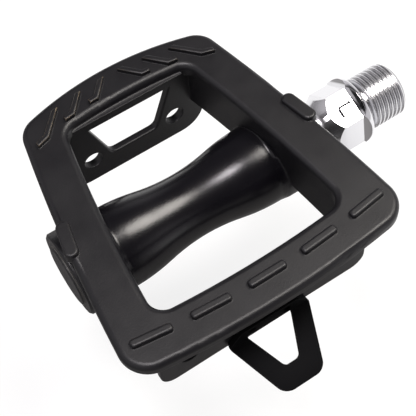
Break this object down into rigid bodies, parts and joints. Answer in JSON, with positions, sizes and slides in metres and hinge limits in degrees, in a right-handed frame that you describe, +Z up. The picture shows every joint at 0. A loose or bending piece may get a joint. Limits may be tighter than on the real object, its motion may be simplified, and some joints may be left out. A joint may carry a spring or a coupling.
{
  "type": "bicycle pedal",
  "caption": "Left-hand black cast bicycle platform pedal with an open frame, hourglass barrel, kick tab and chromed threaded spindle on ball bearings.",
  "frame": {"origin": "on the spindle axis, at the shoulder that seats against the crank", "axes": "+X along the spindle towards the crank, +Y forwards to the ribbed edge, +Z up, out of the tread"},
  "size_m": [0.0976, 0.0852, 0.0315],
  "materials": {
    "cast_black": "satin",
    "cap_black": "satin",
    "tab_black": "matte",
    "chromed_steel": "polished",
    "bearing_steel": "ground",
    "seal_rubber": "matte"
  },
  "bodies": {
    "spindle": {"spindle": "chromed_steel", "outboard_cone": "bearing_steel", "lock_washer": "bearing_steel", "lock_nut": "bearing_steel"},
    "platform": {"platform_body": "cast_black", "inboard_cup": "bearing_steel", "outboard_cup": "bearing_steel", "dust_seal": "seal_rubber", "dust_cap": "cap_black", "kick_tab": "tab_black", "tab_rivets": "tab_black"},
    "inboard_balls": {"inboard_ball_01": "bearing_steel", "inboard_ball_02": "bearing_steel", "inboard_ball_03": "bearing_steel", "inboard_ball_04": "bearing_steel", "inboard_ball_05": "bearing_steel", "inboard_ball_06": "bearing_steel", "inboard_ball_07": "bearing_steel", "inboard_ball_08": "bearing_steel", "inboard_ball_09": "bearing_steel", "inboard_ball_10": "bearing_steel", "inboard_ball_11": "bearing_steel", "inboard_ball_12": "bearing_steel"},
    "outboard_balls": {"outboard_ball_01": "bearing_steel", "outboard_ball_02": "bearing_steel", "outboard_ball_03": "bearing_steel", "outboard_ball_04": "bearing_steel", "outboard_ball_05": "bearing_steel", "outboard_ball_06": "bearing_steel", "outboard_ball_07": "bearing_steel", "outboard_ball_08": "bearing_steel", "outboard_ball_09": "bearing_steel", "outboard_ball_10": "bearing_steel", "outboard_ball_11": "bearing_steel", "outboard_ball_12": "bearing_steel"}
  },
  "joints": [
    {"name": "platform_spin", "type": "hinge", "parent": "spindle", "child": "platform", "pos_m": [-0.0503, 0, 0], "axis": [1, 0, 0], "continuous": true},
    {"name": "inboard_balls_roll", "type": "hinge", "parent": "spindle", "child": "inboard_balls", "pos_m": [-0.0249, 0, 0], "axis": [1, 0, 0], "continuous": true},
    {"name": "outboard_balls_roll", "type": "hinge", "parent": "spindle", "child": "outboard_balls", "pos_m": [-0.0757, 0, 0], "axis": [1, 0, 0], "continuous": true}
  ],
  "couplings": [
    {"joint": "inboard_balls_roll", "follows": "platform_spin", "ratio": 0.589},
    {"joint": "outboard_balls_roll", "follows": "platform_spin", "ratio": 0.589}
  ]
}
